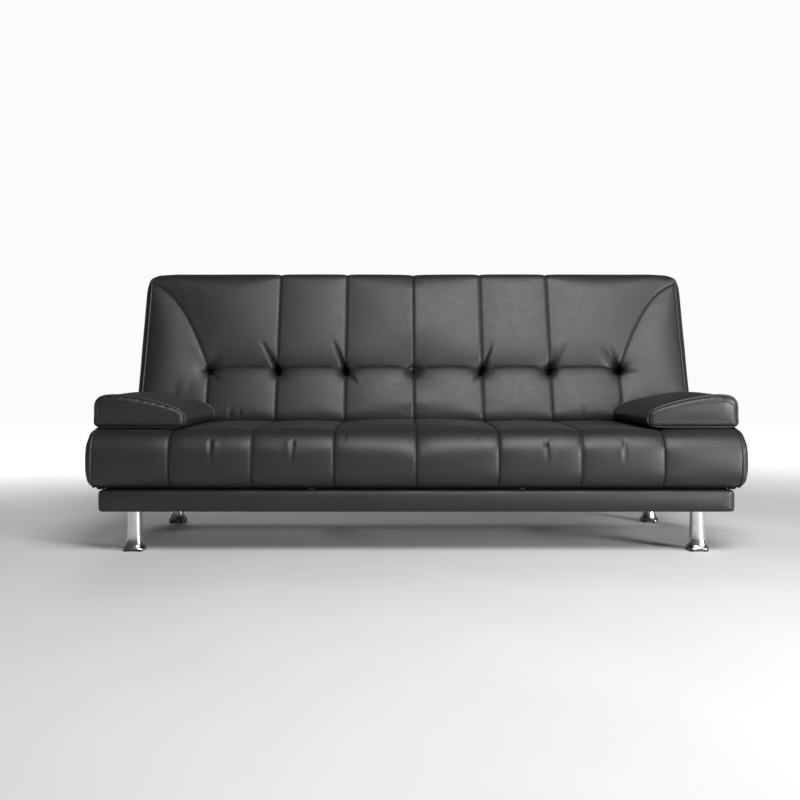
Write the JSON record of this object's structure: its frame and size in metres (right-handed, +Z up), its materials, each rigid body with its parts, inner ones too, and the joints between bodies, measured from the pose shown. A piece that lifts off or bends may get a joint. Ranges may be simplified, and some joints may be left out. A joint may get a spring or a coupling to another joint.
{
  "type": "futon sofa bed",
  "caption": "Click-clack futon sofa in dark faux leather whose tufted back folds flat into a bed, with lift-off wedge arms and chrome legs.",
  "frame": {"origin": "on the floor under the middle of the upright sofa's bounding box", "axes": "+X along the sofa's length, to the right seen from the front; +Y to the rear, away from the sitter; +Z up"},
  "size_m": [1.8, 0.8087, 0.8333],
  "materials": {
    "upholstery": "soft satin vinyl, fine grain",
    "rear_vinyl": "thin matt vinyl over hardboard",
    "dust_cloth": "non-woven, matt",
    "softwood": "planed pine",
    "plywood": "sanded birch plywood",
    "chrome_leg": "bright plated",
    "rubber_pad": "matt",
    "powder_coated_tube": "satin powder coat",
    "spring_steel": "bright drawn wire",
    "clip_plastic": "moulded",
    "zinc_plate": "bright zinc plate",
    "zinc_fastener": "bright zinc plate"
  },
  "bodies": {
    "base": {"front_rail_cover": "upholstery", "rear_rail_cover": "upholstery", "left_rail_cover": "upholstery", "right_rail_cover": "upholstery", "front_rail_board": "softwood", "rear_rail_board": "softwood", "left_rail_board": "softwood", "right_rail_board": "softwood", "base_cross_bars": "softwood", "leg_front_left": "chrome_leg", "leg_front_right": "chrome_leg", "leg_rear_left": "chrome_leg", "leg_rear_right": "chrome_leg", "toe_pads_front_left": "rubber_pad", "toe_pads_front_right": "rubber_pad", "toe_pads_rear_left": "rubber_pad", "toe_pads_rear_right": "rubber_pad", "leg_studs": "zinc_fastener", "corner_plates": "plywood", "lift_brackets": "zinc_plate", "lift_bracket_bolts": "zinc_fastener", "seat_bumpers": "rubber_pad"},
    "seat": {"seat_side_tube_left": "powder_coated_tube", "seat_side_tube_right": "powder_coated_tube", "seat_cross_tubes": "powder_coated_tube", "seat_front_tube": "powder_coated_tube", "seat_rear_tube": "powder_coated_tube", "lift_pins": "zinc_fastener", "seat_springs": "spring_steel", "seat_spring_clips": "clip_plastic", "seat_pad": "upholstery", "arm_sockets": "powder_coated_tube", "seat_dust_cover": "dust_cloth", "seat_hinge_plate_left": "zinc_plate", "seat_hinge_plate_right": "zinc_plate", "pivot_bolts": "zinc_fastener", "pivot_nuts": "zinc_fastener", "pivot_washers": "zinc_fastener", "pawl_pins": "zinc_fastener"},
    "back": {"back_side_tubes": "powder_coated_tube", "back_cross_tubes": "powder_coated_tube", "back_lower_tube": "powder_coated_tube", "back_top_tube": "powder_coated_tube", "back_springs": "spring_steel", "back_spring_clips": "clip_plastic", "back_pad": "upholstery", "back_rear_panel": "rear_vinyl", "back_hinge_plate_left": "zinc_plate", "back_hinge_plate_right": "zinc_plate", "ratchets": "zinc_plate"},
    "pawl_left": {"pawl_left": "zinc_plate"},
    "pawl_right": {"pawl_right": "zinc_plate"},
    "arm_left": {"arm_pad_left": "upholstery", "arm_board_left": "plywood", "arm_pegs_left": "zinc_fastener"},
    "arm_right": {"arm_pad_right": "upholstery", "arm_board_right": "plywood", "arm_pegs_right": "zinc_fastener"}
  },
  "joints": [
    {"name": "seat_lift", "type": "hinge", "parent": "base", "child": "seat", "pos_m": [0, 0.23065, 0.1965], "axis": [-1, 0, 0], "range_deg": [0, 20]},
    {"name": "back_recline", "type": "hinge", "parent": "seat", "child": "back", "pos_m": [0, 0.14165, 0.31], "axis": [-1, 0, 0], "range_deg": [0, 70.5]},
    {"name": "pawl_release_left", "type": "hinge", "parent": "seat", "child": "pawl_left", "pos_m": [-0.7588, 0.12565, 0.248], "axis": [1, 0, 0], "range_deg": [0, 14]},
    {"name": "pawl_release_right", "type": "hinge", "parent": "seat", "child": "pawl_right", "pos_m": [0.7588, 0.12565, 0.248], "axis": [1, 0, 0], "range_deg": [0, 14]},
    {"name": "arm_left_lift", "type": "slide", "parent": "seat", "child": "arm_left", "axis": [0, 0, 1], "range_m": [0, 0.12]},
    {"name": "arm_right_lift", "type": "slide", "parent": "seat", "child": "arm_right", "axis": [0, 0, 1], "range_m": [0, 0.12]}
  ]
}
